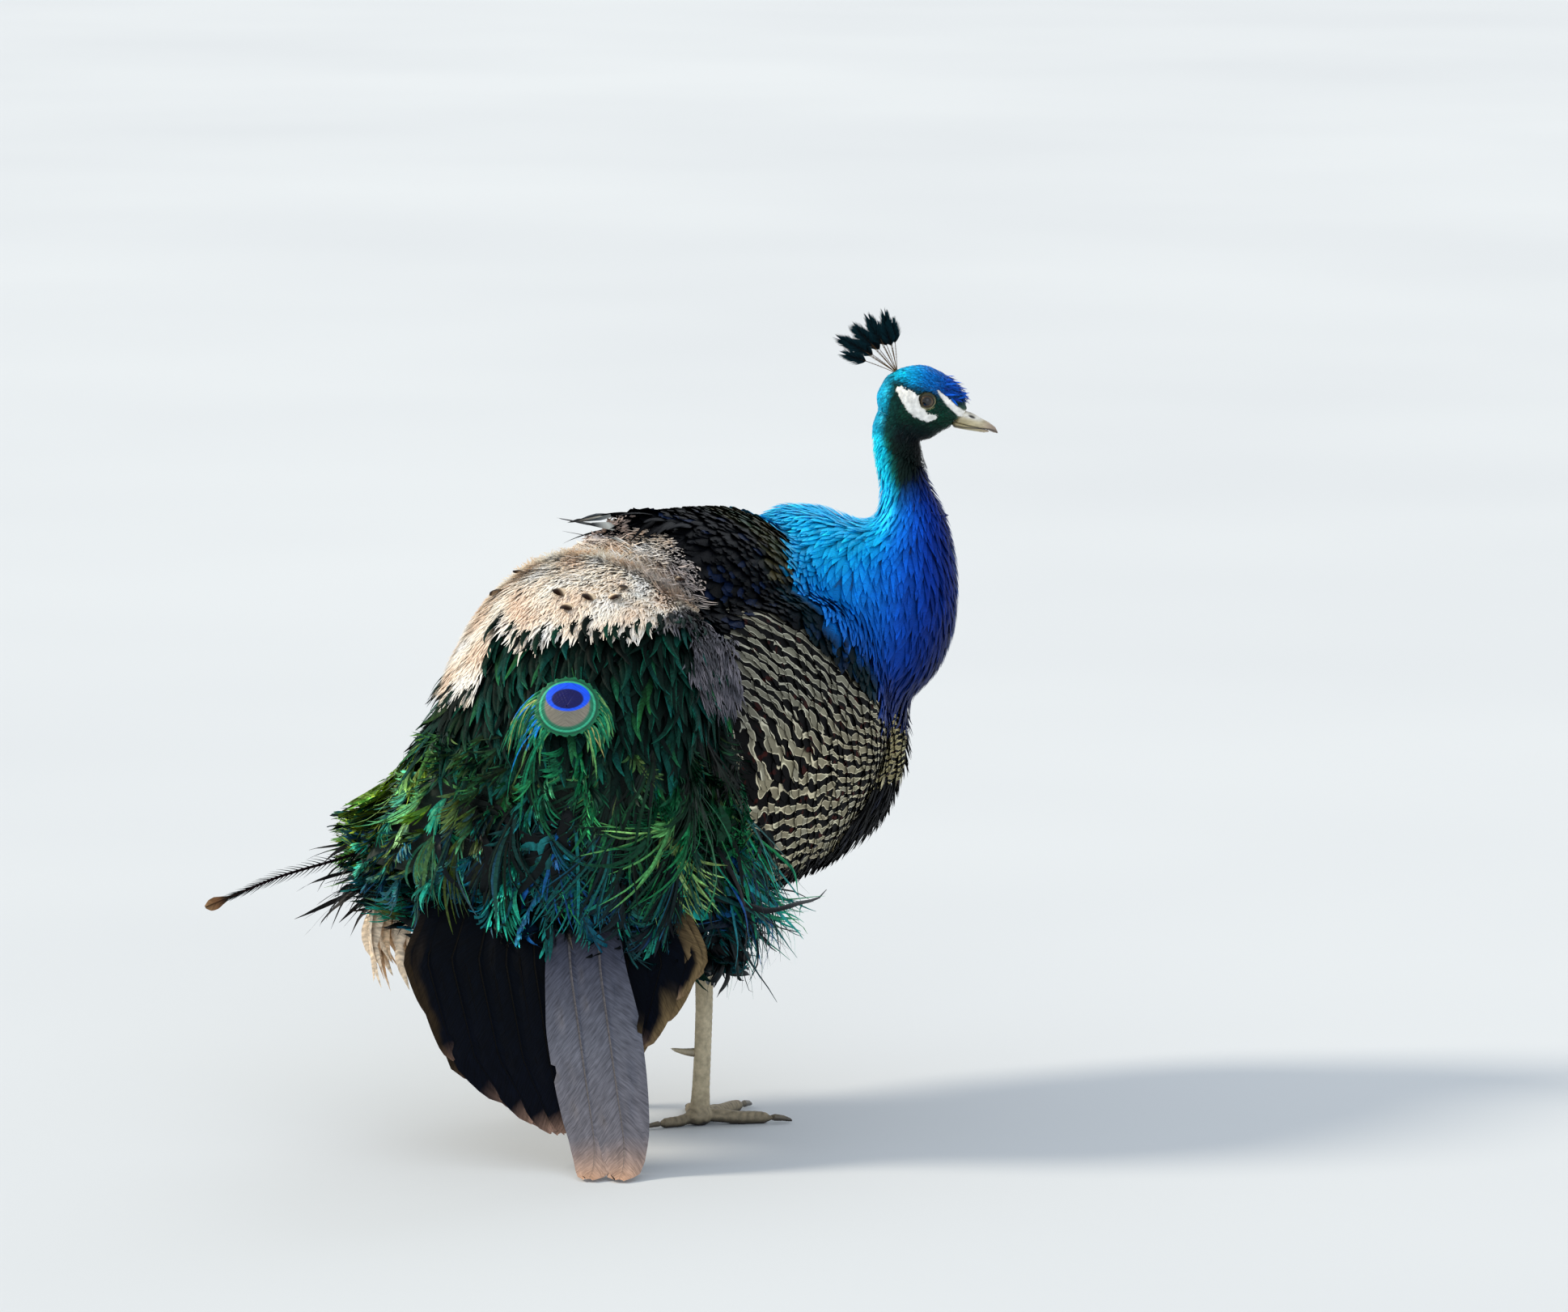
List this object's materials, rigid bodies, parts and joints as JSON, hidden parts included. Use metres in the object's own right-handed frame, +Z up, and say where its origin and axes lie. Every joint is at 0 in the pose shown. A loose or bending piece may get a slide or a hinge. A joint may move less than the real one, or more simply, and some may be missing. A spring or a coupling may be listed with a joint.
{
  "type": "peacock",
  "caption": "Life-size still model of a moulting Indian peacock standing on both feet, head turned to its right, short ragged train and tail lowered to the floor.",
  "frame": {"origin": "centre of the bounding box seen from above, at the floor the soles stand on", "axes": "+Z up, the bird faces -Y, its right side is -X"},
  "size_m": [0.4554, 0.5546, 0.6521],
  "materials": {
    "neck_feather": "satin, iridescent",
    "back_feather": "satin",
    "belly_feather": "matt down",
    "rump_feather": "matt down",
    "wing_feather": "matt, barred",
    "train_feather": "satin, iridescent",
    "tail_feather": "matt",
    "thigh_feather": "matt down",
    "leg_scale": "semi-matt, scaled",
    "claw_horn": "worn horn",
    "bill_horn": "semi-matt horn",
    "eye": "wet gloss"
  },
  "bodies": {
    "root": {"head": "neck_feather", "neck_upper": "neck_feather", "neck_lower": "neck_feather", "back": "back_feather", "belly": "belly_feather", "rump": "rump_feather", "eye_right": "eye", "eye_left": "eye", "bill_upper": "bill_horn", "bill_lower": "bill_horn", "crest": "train_feather", "wing_right": "wing_feather", "wing_left": "wing_feather", "train_upper": "rump_feather", "train_skirt": "train_feather", "tail": "tail_feather", "thigh_right": "thigh_feather", "shank_right": "leg_scale", "foot_right": "leg_scale", "spur_right": "claw_horn", "claw_outer_right": "claw_horn", "claw_middle_right": "claw_horn", "claw_inner_right": "claw_horn", "claw_hind_right": "claw_horn", "thigh_left": "thigh_feather", "shank_left": "leg_scale", "foot_left": "leg_scale", "spur_left": "claw_horn", "claw_outer_left": "claw_horn", "claw_middle_left": "claw_horn", "claw_inner_left": "claw_horn", "claw_hind_left": "claw_horn"}
  },
  "joints": []
}
